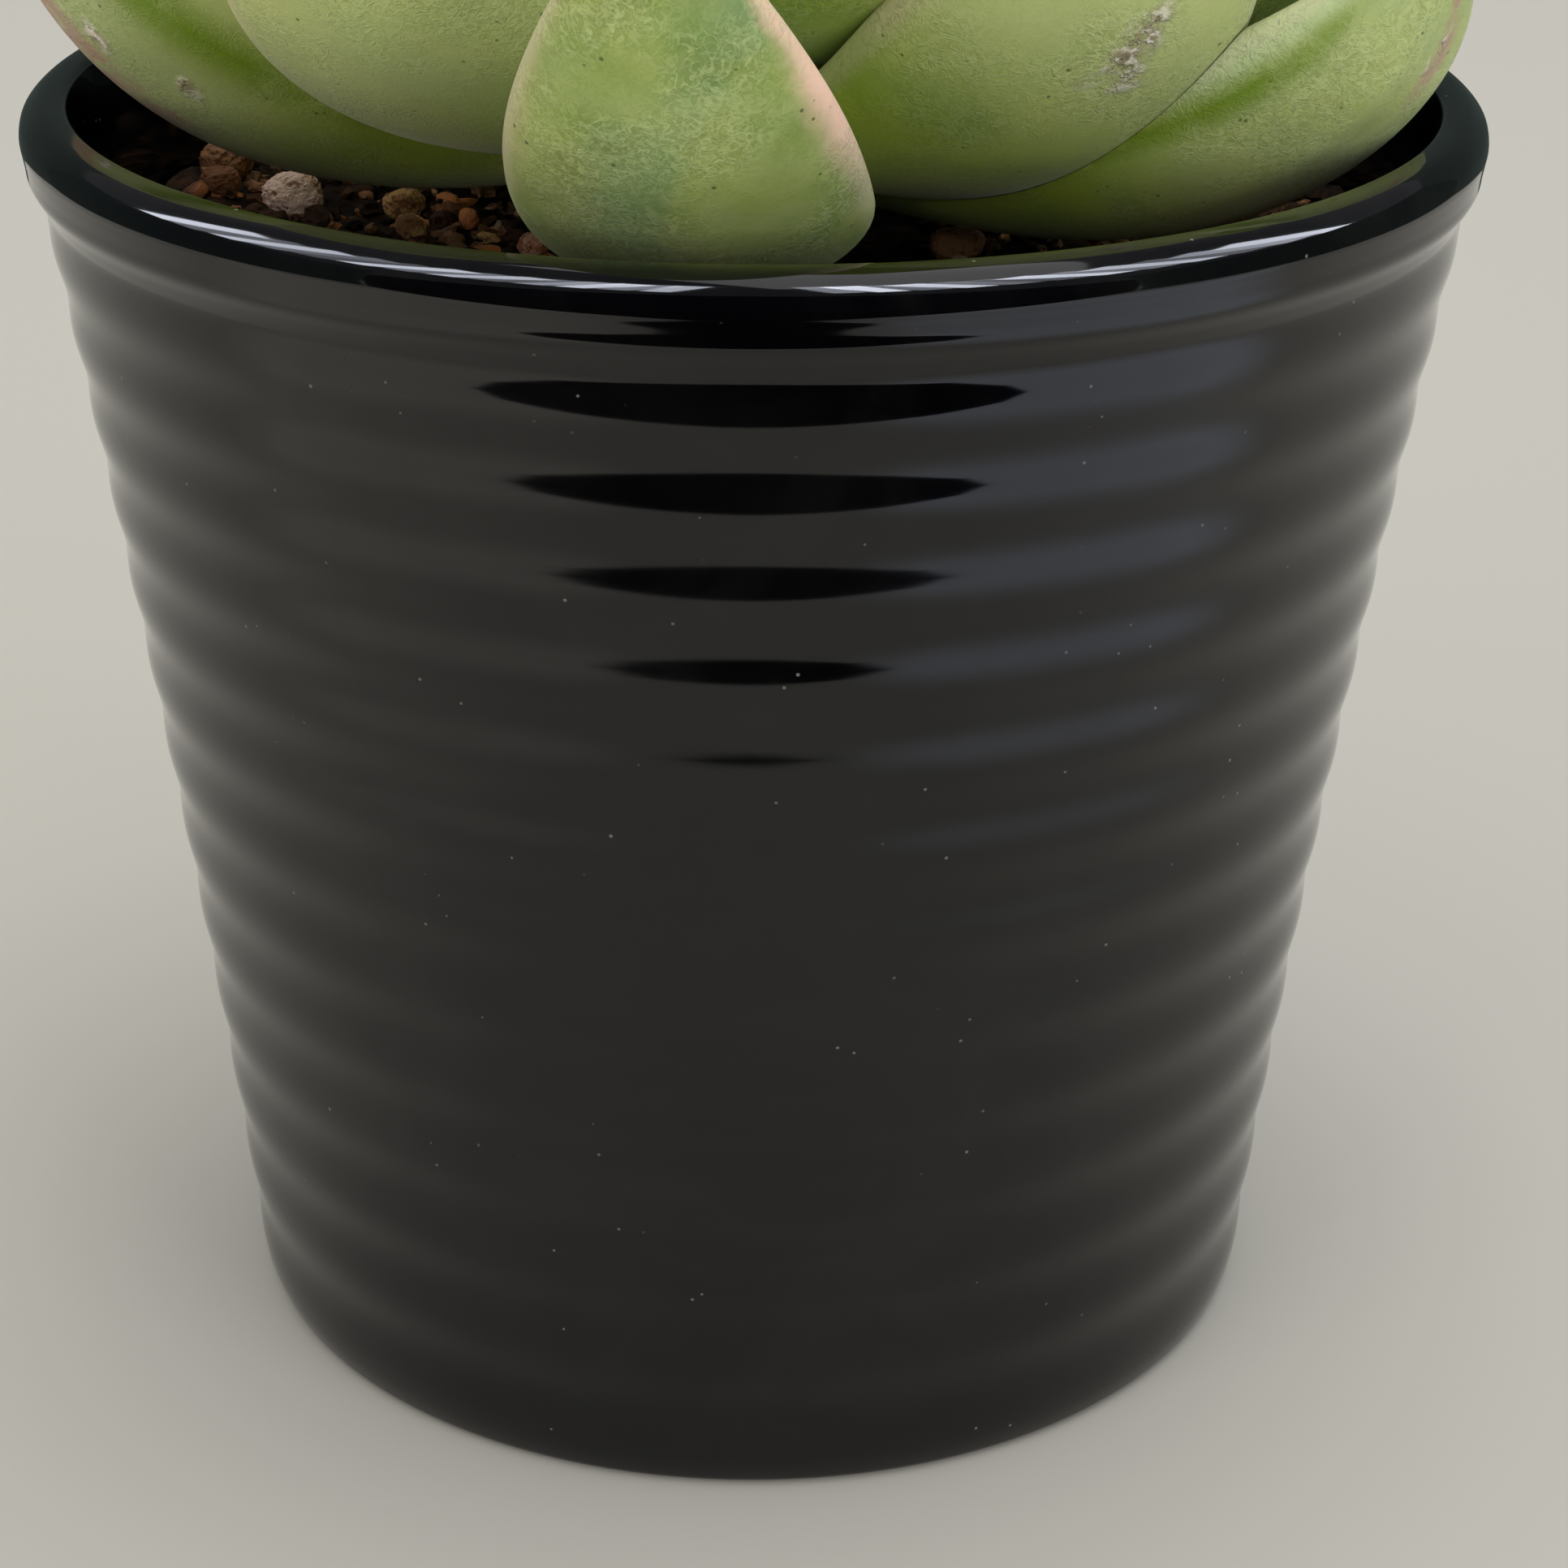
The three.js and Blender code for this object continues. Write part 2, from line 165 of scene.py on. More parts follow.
# Stones and bark: node, place on the soil, half sizes, turn, material, how light it is.
STONES = [
    ("pumice_large", -40, 8.9, (2.6, 2.4, 2.2), 20, "pumice", 0.85),
    ("gravel_pink", -46.6, 16, (3, 2.1, 1.9), 75, "gravel", 0.55),
    ("gravel_brown", -46.3, 9, (1.7, 1.5, 1.3), 10, "gravel", 0.3),
    ("gravel_tan", -30.4, 8.6, (1.9, 1.5, 1.3), 40, "gravel", 0.8),
    ("gravel_orange", -29.3, 2.6, (1.6, 1.3, 1.2), 110, "gravel", 0.95),
    ("gravel_pale", -18.4, -3.3, (1.3, 1.1, 1), 0, "pumice", 0.6),
    ("bark_1", -26.8, 10.8, (1.6, 0.7, 0.7), -54, "bark", 1.6),
    ("bark_2", -24.6, 5.9, (1.8, 0.8, 0.8), -75, "bark", 1.1),
    ("gravel_right", 39.2, 8.7, (1.3, 1.1, 1), 30, "gravel", 0.5),
    ("pumice_back", -14, 47, (2.3, 1.9, 1.7), 80, "pumice", 0.7),
    ("gravel_front", 17, -1.9, (2.3, 1.7, 1.4), 10, "gravel", 0.6),
    ("bark_back", 20, 43.5, (3.1, 1.1, 0.9), 15, "bark", 0.5),
]


# ------------------------------------------------------------------ camera

def make_camera():
    """The photograph's view: near the pot, looking down at it."""
    data = bpy.data.cameras.new("camera")
    data.lens = FOCAL_LENGTH
    data.sensor_width = SENSOR_WIDTH
    camera = bpy.data.objects.new("camera", data)
    place = Matrix.Translation(Vector(CAMERA_PLACE) * MM)
    pitch = Matrix.Rotation(math.radians(90 - CAMERA_DOWN), 4, "X")
    roll = Matrix.Rotation(math.radians(CAMERA_ROLL), 4, "Z")
    camera.matrix_world = place @ pitch @ roll
    bpy.context.scene.collection.objects.link(camera)
    bpy.context.scene.camera = camera


# ------------------------------------------------------------------ meshes

def smoothstep(x, low, high):
    t = np.clip((x - low) / (high - low), 0, 1)
    return t * t * (3 - 2 * t)


def draw(k):
    """A repeatable draw between -1 and 1 for each whole number, as in the model."""
    x = math.sin(k * 127.1 + 311.7) * 43758.5453
    return 2 * (x - math.floor(x)) - 1


def skin(rings, start, end):
    """Points and faces of a closed surface through rings of points, with a fan at each end."""
    count, sides = rings.shape[:2]
    points = np.vstack([[start], rings.reshape(-1, 3), [end]])
    j = np.arange(sides)
    after = (j + 1) % sides
    faces = [(0, 1 + b, 1 + a) for a, b in zip(j, after)]
    for i in range(count - 1):
        low = 1 + i * sides
        high = low + sides
        faces += zip(low + j, low + after, high + after, high + j)
    last = 1 + (count - 1) * sides
    faces += [(last + a, last + b, len(points) - 1) for a, b in zip(j, after)]
    return points, [tuple(int(k) for k in face) for face in faces]


def turned(profile, sides):
    """A profile of (radius, height) from axis to axis, turned about the vertical."""
    profile = np.array(profile, float)
    angle = np.linspace(0, 2 * math.pi, sides, endpoint=False)
    radius, height = profile[1:-1, 0][:, None], profile[1:-1, 1][:, None]
    rings = np.stack([radius * np.cos(angle), radius * np.sin(angle), height + 0 * angle], axis=2)
    return skin(rings, (0, 0, profile[0, 1]), (0, 0, profile[-1, 1]))


def new_mesh(name, points, faces, values=None):
    """A mesh in metres from points in millimetres, with a float for each point in each value."""
    mesh = bpy.data.meshes.new(name)
    mesh.from_pydata((np.asarray(points) * MM).tolist(), [], faces)
    mesh.update()
    set_values(mesh, values or {})
    return mesh


def set_values(mesh, values):
    for key, numbers in values.items():
        layer = mesh.attributes.new(key, "FLOAT", "POINT")
        layer.data.foreach_set("value", np.asarray(numbers, np.float32))


def show(name, mesh, material, nodes=(), sharp=None):
    """Puts a mesh in the scene as a piece of the object that stands for the given nodes."""
    mesh.shade_smooth()
    if sharp:
        mesh.set_sharp_from_angle(angle=math.radians(sharp))
    mesh.materials.append(material)
    piece = bpy.data.objects.new(name, mesh)
    bpy.context.scene.collection.objects.link(piece)
    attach(piece, "root")
    if nodes:
        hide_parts(*nodes)
    return piece


# ------------------------------------------------------------------ material nodes

def colour(code):
    """The linear colour of a six-digit sRGB code."""
    parts = [int(code[i:i + 2], 16) / 255 for i in (0, 2, 4)]
    return tuple(p / 12.92 if p <= 0.04045 else ((p + 0.055) / 1.055) ** 2.4 for p in parts) + (1,)


class Finish:
    """A material whose nodes are made and linked by short calls."""

    def __init__(self, name, **fixed):
        self.material = bpy.data.materials.new(name)
        self.material.use_nodes = True
        self.nodes = self.material.node_tree.nodes
        self.links = self.material.node_tree.links
        self.shader = self.nodes["Principled BSDF"]
        self.set(**fixed)
        self.place = self.nodes.new("ShaderNodeTexCoord").outputs["Object"]

    def feed(self, socket, value):
        if isinstance(value, bpy.types.NodeSocket):
            self.links.new(value, socket)
        elif isinstance(value, str):
            socket.default_value = colour(value)
        else:
            socket.default_value = value

    def set(self, **inputs):
        for key, value in inputs.items():
            self.feed(self.shader.inputs[key.replace("_", " ")], value)

    def noise(self, scale, detail=2.0, roughness=0.5, distortion=0.0, stretch=None):
        node = self.nodes.new("ShaderNodeTexNoise")
        self.links.new(self.stretched(stretch), node.inputs["Vector"])
        for key, value in zip(("Scale", "Detail", "Roughness", "Distortion"),
                              (scale, detail, roughness, distortion)):
            node.inputs[key].default_value = value
        return node.outputs["Fac"]

    def cells(self, scale, feature="F1", output="Distance"):
        node = self.nodes.new("ShaderNodeTexVoronoi")
        node.feature = feature
        self.links.new(self.place, node.inputs["Vector"])
        node.inputs["Scale"].default_value = scale
        return node.outputs[output]

    def stretched(self, stretch):
        if stretch is None:
            return self.place
        node = self.nodes.new("ShaderNodeMapping")
        self.links.new(self.place, node.inputs["Vector"])
        node.inputs["Scale"].default_value = stretch
        return node.outputs["Vector"]

    def value(self, name):
        node = self.nodes.new("ShaderNodeAttribute")
        node.attribute_name = name
        return node.outputs["Fac"]

    def math(self, operation, a, b=0.0):
        node = self.nodes.new("ShaderNodeMath")
        node.operation = operation
        self.feed(node.inputs[0], a)
        self.feed(node.inputs[1], b)
        return node.outputs[0]

    def times(self, *factors):
        product = factors[0]
        for factor in factors[1:]:
            product = self.math("MULTIPLY", product, factor)
        return product

    def span(self, value, low, high, to_low=0.0, to_high=1.0):
        """Rises smoothly from to_low to to_high while the value goes from low to high."""
        node = self.nodes.new("ShaderNodeMapRange")
        node.interpolation_type = "SMOOTHSTEP"
        for key, number in zip(("Value", "From Min", "From Max", "To Min", "To Max"),
                               (value, low, high, to_low, to_high)):
            self.feed(node.inputs[key], number)
        return node.outputs["Result"]

    def blend(self, share, a, b, mode="MIX"):
        node = self.nodes.new("ShaderNodeMix")
        node.data_type = "RGBA"
        node.blend_type = mode
        self.feed(node.inputs[0], share)
        self.feed(node.inputs[6], a)
        self.feed(node.inputs[7], b)
        return node.outputs[2]

    def bump(self, height, depth, under=None):
        """A bump of the given depth in millimetres, over another one if that is given."""
        node = self.nodes.new("ShaderNodeBump")
        node.inputs["Distance"].default_value = depth * MM
        self.links.new(height, node.inputs["Height"])
        if under is not None:
            self.links.new(under, node.inputs["Normal"])
        return node.outputs["Normal"]


# ------------------------------------------------------------------ materials

def glaze():
    """Gloss black glaze with a faint unevenness, smears and a few specks of dust."""
    f = Finish("black_glaze", IOR=1.45)
    specks = f.times(f.span(f.cells(520), 0.09, 0.05), f.span(f.noise(150), 0.56, 0.62))
    mottled = f.blend(f.span(f.noise(45, 5.0, 0.65, 1.5), 0.35, 0.75), "020203", "080808")
    f.set(Base_Color=f.blend(f.times(specks, 0.55), mottled, "6f6c66"))
    smear = f.span(f.noise(24, 4.0, 0.6), 0.4, 0.7, 0.05, 0.11)
    f.set(Roughness=f.math("ADD", smear, f.times(specks, 0.4)))
    f.set(Normal=f.bump(f.noise(60, 2.0, 0.4), 0.03))
    return f.material


# Patches of a leaf's green: their noise, where they begin and are full, their strength and colour.
GREEN_PATCHES = [
    ((62, 3.0, 0.55, 0.4), (0.46, 0.62), 0.75, "5c8250"),
    ((50, 3.0, 0.5, 0.3), (0.5, 0.66), 0.6, "a9ad50"),
    ((110, 3.0, 0.6), (0.54, 0.7), 0.45, "6b7434"),
]


def leaf_green(f, along):
    """Uneven green under a veil of bloom, yellow-green where a leaf has no bloom, which is also a painted
    glow of light through the leaves in shade, and frost, which is partly a painted sheen.
    """
    patches = f.noise(75, 4.0, 0.6)
    body = f.blend(f.span(patches, 0.32, 0.68), "6a8630", "8fa14a")
    for cloud, (low, high), share, tint in GREEN_PATCHES:
        body = f.blend(f.times(f.span(f.noise(*cloud), low, high), share), body, tint)
    # Paler by each leaf's tone: random for most leaves; for the front leaves it is painted light, paler
    # where a leaf sits in shade and darker where it faces the lamps.
    body = f.blend(f.span(f.value("tone"), 0, 1, 0, 0.65), body, "c6d088")
    veil = f.times(f.span(f.noise(170, 4.0, 0.62), 0.3, 0.7, 0.2, 0.8), f.span(along, 0.3, 0.65, 0.05, 1))
    body = f.blend(f.times(veil, 0.45), body, "b9c284")
    # Yellow-green where the bloom is thin, towards the base and on leaves 10 and 13; it is also a painted
    # glow of light through the leaves in shade.
    fresh = f.math("MAXIMUM", f.span(along, 0.66, 0.36), f.value("fresh"))
    body = f.blend(f.times(fresh, 0.88), body, f.blend(f.span(patches, 0.35, 0.65), "86a410", "a2b522"))
    # A pale frosted band along a margin, partly a painted sheen.
    return f.blend(f.times(f.value("frost"), 0.5), body, "bdd0a8")


def leaf_margin(f, body):
    """A pale rim along the leaf's margin, blushed where the leaf is."""
    edge = f.math("ABSOLUTE", f.value("across"))
    body = f.blend(f.times(f.span(edge, 0.9, 1.0), 0.5), body, "c9c4a2")
    uneven = f.math("ADD", edge, f.times(f.math("SUBTRACT", f.noise(140, 4.0, 0.6), 0.5), 0.3))
    blush = f.times(f.value("blush"), f.span(uneven, 0.8, 1.02), f.span(f.noise(60), 0.35, 0.6, 0.6, 1))
    return f.blend(blush, body, "fcccb8")


def leaf_lines(f, body, along):
    """Fine pale squiggles with dark furrows beside them, and how strong the squiggles are."""
    ridge = f.math("ABSOLUTE", f.math("SUBTRACT", f.noise(1350, 1.0, 0.4, 0.9), 0.5))
    loops = f.math("ABSOLUTE", f.math("SUBTRACT", f.noise(820, 1.0, 0.4, 1.4), 0.5))
    patchy = f.span(f.noise(110, 2.0), 0.38, 0.6, 0.2, 0.9)
    lines = f.math("MAXIMUM", f.span(ridge, 0.085, 0.0, 0, 0.6), f.span(loops, 0.07, 0.0))
    squiggle = f.times(lines, patchy, f.span(along, 0.3, 0.55, 0.35, 1))
    body = f.blend(f.times(squiggle, 0.42), body, "cdd99a")
    furrow = f.times(f.span(ridge, 0.09, 0.14), f.span(ridge, 0.2, 0.14), patchy)
    return f.blend(f.times(furrow, 0.3), body, "55702a"), squiggle


def leaf_marks(f, body, along):
    """Dots, rubbed lines that also hold painted crease shade, the brown tip, cork and worn places, the cork
    whitened in places as a painted highlight, and how corky the skin is.
    """
    dots = f.times(f.span(f.cells(700), 0.15, 0.09), f.span(f.noise(330), 0.56, 0.60))
    body = f.blend(f.times(dots, 0.75), body, "3f4a1a")
    # Rubbed lines: bloom rubbed off, and painted shade in the crease where a neighbouring leaf presses.
    rubbed = f.times(f.value("rubbed"), f.span(f.noise(200, 3.0), 0.3, 0.55, 0.5, 0.95))
    body = f.blend(rubbed, body, "6d8a10")
    body = f.blend(f.times(f.span(along, 0.965, 0.99), 0.75), body, "8c4a3a")
    body = f.blend(f.times(f.value("scar"), 0.5), body, "a8987a")
    # Cork on the scars, whitened in places as a painted highlight; it also raises the bump.
    cork_and_highlight = f.times(f.value("scar"), f.span(f.noise(700, 4.0, 0.65), 0.44, 0.52))
    body = f.blend(cork_and_highlight, body, f.blend(f.span(f.noise(900, 3.0), 0.4, 0.56), "9c8a70", "fbf3e6"))
    wear = f.times(f.value("wear"), f.span(f.noise(330, 4.0, 0.65), 0.4, 0.58, 0.15, 0.9))
    return f.blend(wear, body, "b08a78"), cork_and_highlight


def leaf_skin(name):
    """Waxy green skin: bloom, yellow-green base that is also a painted glow, blushed margins, fine
    squiggles, dots and scars, with a painted sheen in the frost, painted shade in the rubbed lines and a
    painted highlight on the cork.
    """
    f = Finish(name, IOR=1.45)
    along = f.value("along")
    body = leaf_margin(f, leaf_green(f, along))
    body, squiggle = leaf_lines(f, body, along)
    body, cork_and_highlight = leaf_marks(f, body, along)
    f.set(Base_Color=body)
    f.set(Roughness=f.span(f.noise(300, 3.0), 0.3, 0.7, 0.44, 0.58))
    f.set(Subsurface_Weight=0.2, Subsurface_Radius=(0.45, 0.6, 0.15), Subsurface_Scale=5 * MM)
    f.set(Sheen_Weight=0.15, Sheen_Roughness=0.4)
    rough = f.bump(f.noise(600, 3.0), 0.04)
    fine = f.bump(squiggle, 0.05, rough)
    f.set(Normal=f.bump(cork_and_highlight, 0.3, fine))
    return f.material


def grit(name, dark, middle, light, stain, depth=0.12):
    """Porous stone or soil, from dark to light by each grain's own tint, stained in places."""
    f = Finish(name, IOR=1.45, Specular_IOR_Level=0.25)
    tint = f.value("tint")
    body = f.blend(f.span(tint, 0, 0.55), dark, middle)
    body = f.blend(f.span(tint, 0.5, 1), body, light)
    pits = f.noise(1100, 5.0, 0.7)
    body = f.blend(f.span(f.noise(260, 4.0, 0.65), 0.5, 0.6, 0, 0.8), body, stain)
    body = f.blend(f.span(pits, 0.47, 0.36, 0, 0.85), body, dark)
    f.set(Base_Color=body)
    f.set(Roughness=f.span(pits, 0.3, 0.7, 0.95, 0.7))
    f.set(Normal=f.bump(pits, depth))
    return f.material


def bark_wood(name, dark, light):
    """Fibrous wood or bark."""
    f = Finish(name, Roughness=0.85)
    fibres = f.noise(500, 4.0, 0.6, 0.4, stretch=(1, 1, 0.25))
    body = f.blend(f.span(f.math("ADD", fibres, f.times(f.value("tint"), 0.3)), 0.4, 0.85), dark, light)
    f.set(Base_Color=body)
    f.set(Normal=f.bump(fibres, 0.15))
    return f.material


# ------------------------------------------------------------------ pot

def wall_radius(z):
    return FOOT_RADIUS + TAPER * z + FLARE * z * z


def rib_height(count):
    """Height of a place on the wall, counted in ribs down from the highest crest."""
    return TOP_RIB - RIB_PITCH * count - PITCH_GROWTH * count * count


def inner_radius(z):
    return min(wall_radius(z) - WALL, RIM_RADIUS - LIP)


def smooth_curve(points, steps):
    """A smooth curve through the points, from the second to the last but one."""
    points = np.array(points, float)
    curve = []
    for a, b, c, d in zip(points, points[1:], points[2:], points[3:]):
        for t in np.arange(steps) / steps:
            curve.append(0.5 * (2 * b + (c - a) * t + (2 * a - 5 * b + 4 * c - d) * t * t
                                + (3 * b - a - 3 * c + d) * t ** 3))
    return curve + [points[-2]]


def pot_profile():
    foot = [(0, 0), (FOOT_RADIUS - FOOT_ROUND, 0)]
    for angle in np.radians(np.linspace(-75, -20, 6)):
        foot.append((FOOT_RADIUS - FOOT_ROUND * (1 - math.cos(angle)), FOOT_ROUND * (1 + math.sin(angle))))
    lowest, highest = RIB_RUN
    ribs = []
    for step in range(round((lowest - highest) * RIB_STEPS) + 1):
        count = lowest - step / RIB_STEPS
        z = rib_height(count)
        if z > 2:
            ribs.append((wall_radius(z) + RIB_HEIGHT * math.cos(2 * math.pi * count), z))
    flare = ribs[-2:] + [(RIM_RADIUS - inset, POT_HEIGHT - drop) for inset, drop in RIM_CURVE]
    rim = [(min(r, RIM_RADIUS), z) for r, z in smooth_curve(flare + [(RIM_RADIUS - 3, POT_HEIGHT)], 6)[1:]]
    mouth = RIM_RADIUS - LIP
    inner = [(mouth + LIP_BEVEL * (1 - math.sin(a)), POT_HEIGHT - LIP_BEVEL * (1 - math.cos(a)))
             for a in np.radians(np.linspace(0, 90, 6))]
    wall = [(inner_radius(z), z) for z in np.linspace(POT_HEIGHT - 2, FLOOR + 2, 40)]
    return foot + ribs + rim + inner + wall + [(inner_radius(FLOOR) - 2, FLOOR), (0, FLOOR)]


def make_pot():
    points, faces = turned(pot_profile(), POT_SIDES)
    radius = np.hypot(points[:, 0], points[:, 1])
    outside = radius > [inner_radius(z) + 1 for z in points[:, 2]]
    outside &= (points[:, 2] > THROWN_WALL[0]) & (points[:, 2] < THROWN_WALL[1])
    around, upward = THROWING_RUN
    for k in np.nonzero(outside)[0]:
        x, y, z = points[k]
        swell = THROWING_WAVE * noise.noise(Vector((x / around, y / around, z / upward)))
        points[k, :2] *= 1 + swell / radius[k]
    show("pot_glazed", new_mesh("pot_glazed", points, faces), glaze(), ["pot"], sharp=50)


# ------------------------------------------------------------------ leaves

def leaf_form(n):
    """A leaf's attitude and size by its place in the spiral, counted from the lowest."""
    form = dict(
        turn=FIRST_TURN + GOLDEN_ANGLE * n,
        height=LOWEST_ROOT + ROOT_SPAN * (1 - math.exp(-n / ROOT_RATE)),
        roll=LEAF_ROLL * draw(n + 3),
        bend=LEAF_BEND,
    )
    for key, (first, change, power) in SPIRAL.items():
        form[key] = first + change * (n / ALL_LEAVES) ** power
    form.update(FRONT_LEAVES.get(n, {}))
    return form


def stem_radius(z):
    share = min(max((z - LOWEST_ROOT) / (STEM_TOP - LOWEST_ROOT), 0), 1)
    return STEM_RADIUS + (STEM_TIP_RADIUS - STEM_RADIUS) * share ** 1.5


def fullness(shape, s):
    """The share of its full width or thickness that a leaf has at the shares s of its length."""
    fullest, at_root, rise, fall, blunt = shape
    rising = at_root + (1 - at_root) * np.sin(math.pi / 2 * np.clip(s / fullest, 0, 1)) ** rise
    out = np.clip((s - fullest) / (1 - fullest), 0, 1)
    return np.where(s < fullest, rising, (1 - out ** fall) ** blunt)


def spine_of(form, s):
    """Points of a leaf's spine, and its angle above the level, at the shares s of its length."""
    turn = math.radians(form["turn"])
    out = np.array([math.sin(turn), -math.cos(turn), 0])
    steps = 600
    middle = (np.arange(steps) + 0.5) / steps * s.max()
    slope = np.radians(form["root"] + (form["tip"] - form["root"]) * middle ** form["bend"])
    piece = form["length"] * s.max() / steps
    reach = np.concatenate([[0], np.cumsum(np.cos(slope)) * piece])
    rise = np.concatenate([[0], np.cumsum(np.sin(slope)) * piece])
    at = np.linspace(0, s.max(), steps + 1)
    first = stem_radius(form["height"]) - ROOT_DEPTH
    spine = np.outer(first + np.interp(s, at, reach), out)
    spine[:, 2] += form["height"] + np.interp(s, at, rise)
    return spine, np.radians(form["root"] + (form["tip"] - form["root"]) * s ** form["bend"])


def leaf_surface(n, stations, sides, grow=0.0, detail=1.0):
    """Points, faces and skin values of one thick leaf, with play added all round if it is grown."""
    form = leaf_form(n)
    turn, roll = math.radians(form["turn"]), math.radians(form["roll"])
    out = np.array([math.sin(turn), -math.cos(turn), 0])
    side = np.array([math.cos(turn), math.sin(turn), 0])
    s = 1 - (1 - np.arange(stations) / stations) ** 1.3
    s = np.concatenate([s[s < 1 - POINT_LENGTH], 1 - POINT_LENGTH * np.array([0.8, 0.6, 0.4, 0.2])])
    spine, angle = spine_of(form, np.append(s, 1))
    end = spine[-1]
    spine, angle = spine[:-1], angle[:-1]
    normal = -np.outer(np.sin(angle), out) + np.outer(np.cos(angle), [0, 0, 1])
    across = side * math.cos(roll) + normal * math.sin(roll)
    lift = normal * math.cos(roll) - side * math.sin(roll)
    blade = s / (1 - 0.6 * POINT_LENGTH)
    point = POINT_RADIUS * form["width"] / SPIRAL["width"][0] * (s > 0.9)
    point = point * np.clip((1 - s) / (1.4 * POINT_LENGTH), 0, 1)
    half = np.maximum(form["width"] / 2 * fullness(WIDTH_FORM, blade), point) + grow
    thick = np.maximum(form["thickness"] * fullness(THICKNESS_FORM, blade), 1.3 * point)
    u = np.linspace(0, 2 * math.pi, sides, endpoint=False)
    belly = np.where(np.sin(u) > 0, 1 - LEAF_BELLY, LEAF_BELLY)
    x = half[:, None] * np.cos(u)
    y = (thick[:, None] * belly + grow) * np.sin(u) + LEAF_CUP * half[:, None] * np.cos(u) ** 2
    if detail:
        wave = sum(high * np.sin(rate * s[:, None] + shift * n) for high, rate, shift in MARGIN_WAVES)
        fade = smoothstep(s, 0.15, 0.5)[:, None] * smoothstep(-s, -0.98, -0.8)[:, None]
        x = x + detail * wave * fade * np.cos(u) * np.abs(np.cos(u))
        keel = KEEL_HEIGHT * np.exp(-(np.cos(u) / KEEL_WIDTH) ** 2) * (np.sin(u) < 0)
        y = y - detail * keel * smoothstep(s, 0.35, 0.8)[:, None] * smoothstep(-s, -1, -0.9)[:, None]
    rings = spine[:, None, :] + x[:, :, None] * across[:, None, :] + y[:, :, None] * lift[:, None, :]
    way = out * math.cos(angle[0]) + np.array([0, 0, math.sin(angle[0])])
    rings[0] -= way * grow
    start = spine[0] - way * grow
    points, faces = skin(rings, start, end + (end - spine[-1]) * (grow > 0))
    flat = 0 * x
    values = {
        "along": np.concatenate([[0], (s[:, None] + flat).ravel(), [1.02]]),
        "across": np.concatenate([[0], (np.cos(u) + flat).ravel(), [0]]),
        "under": np.concatenate([[0], (-np.sin(u) + flat).ravel(), [0]]),
    }
    return points, faces, values


def strip(s, low, high):
    """1 between two shares of the length, fading over a tenth at each end."""
    return smoothstep(s, low, low + 0.1) * smoothstep(-s, -high, -high + 0.1)


def marks(n, values):
    """How corky, worn, rubbed, frosted, blushed and bloomless a leaf is at each point; the rubbed lines also
    hold painted crease shade, the frost a painted sheen and the bloomless green a painted glow of light
    through the leaf.
    """
    along, across, under = (values[k] for k in ("along", "across", "under"))
    scar, wear, rubbed, frost = (0 * along for _ in range(4))
    for leaf, s, x, size in CORKY:
        if leaf == n:
            far = np.hypot((along - s) / size, (across - x) / (2.2 * size))
            scar = np.maximum(scar, smoothstep(-far, -1, -0.3) * (under > 0))
    for leaf, low, high, x, width in WORN:
        if leaf == n:
            band = smoothstep(-np.abs(across - x) / width, -1, -0.4) * (under > 0)
            wear = np.maximum(wear, strip(along, low, high) * band)
    for leaf, low, high, x, width in RUBBED_AND_SHADED:
        if leaf == n:
            line = np.exp(-((across - x) / width) ** 2) * (under > 0)
            rubbed = np.maximum(rubbed, strip(along, low, high) * line)
    # Frost along a margin, partly a painted sheen.
    for leaf, low, high, sign in FROSTED_AND_SHEEN:
        if leaf == n:
            band = smoothstep(sign * across, 0.8, 0.92)
            frost = np.maximum(frost, strip(along, low, high) * band)
    left, right = BLUSHED.get(n, (0.5, 0.5))
    blush = np.where(across < 0, left, right) * smoothstep(along, 0.45, 0.75)
    # Bloomless green, also a painted glow of light through the leaf in shade.
    fresh = np.full(len(along), float(BLOOMLESS_AND_GLOW.get(n, 0)))
    return dict(scar=scar, wear=wear, rubbed=rubbed, frost=frost, blush=blush, fresh=fresh)


# Corky scars on the underside, their palest cork partly a painted highlight: leaf, share along it, place
# across it, size.
CORKY = [
    (5, 0.67, 0.2, 0.055), (5, 0.64, 0.08, 0.035), (5, 0.61, 0.26, 0.04), (5, 0.6, 0.03, 0.02),
    (4, 0.64, -0.32, 0.02), (4, 0.75, -0.54, 0.025), (0, 0.84, 0.42, 0.03),
]
# Worn places near a margin: leaf, from, to, place across, half width.
WORN = [(4, 0.55, 1.05, -0.82, 0.24), (0, 0.74, 0.99, 0.5, 0.15)]
# Lines where the bloom is rubbed off the underside, with painted shade in the crease where the next leaf
# presses: leaf, from, to, place across, half width.
RUBBED_AND_SHADED = [(0, 0.05, 0.9, -0.76, 0.1), (4, 0.35, 0.95, 0.1, 0.2)]
# Pale, frosted margins, partly a painted sheen: leaf, from, to, side.
FROSTED_AND_SHEEN = [(0, 0.55, 1.1, -1)]
# How pink a leaf's left and right margins are.
BLUSHED = {0: (0, 0.4), 2: (0.2, 1), 4: (0.7, 0.1), 5: (0.6, 0.2), 7: (0.25, 0), 10: (0, 0), 13: (0, 0)}
# Leaves that have less bloom, whose yellow-green is also a painted glow of light through them in shade, and
# how pale some of the others are, which for these front leaves is painted light: paler where a leaf gets
# less light, darker where it faces the lamps.
BLOOMLESS_AND_GLOW = {10: 0.95, 13: 0.8}
PALE_AND_LIGHT = {0: 0.6, 2: 0, 4: 0.75, 5: 0.95, 7: 1, 10: 0, 13: 0}


def boxes_meet(a, b):
    return bool(np.all(a.max(0) > b.min(0)) and np.all(b.max(0) > a.min(0)))


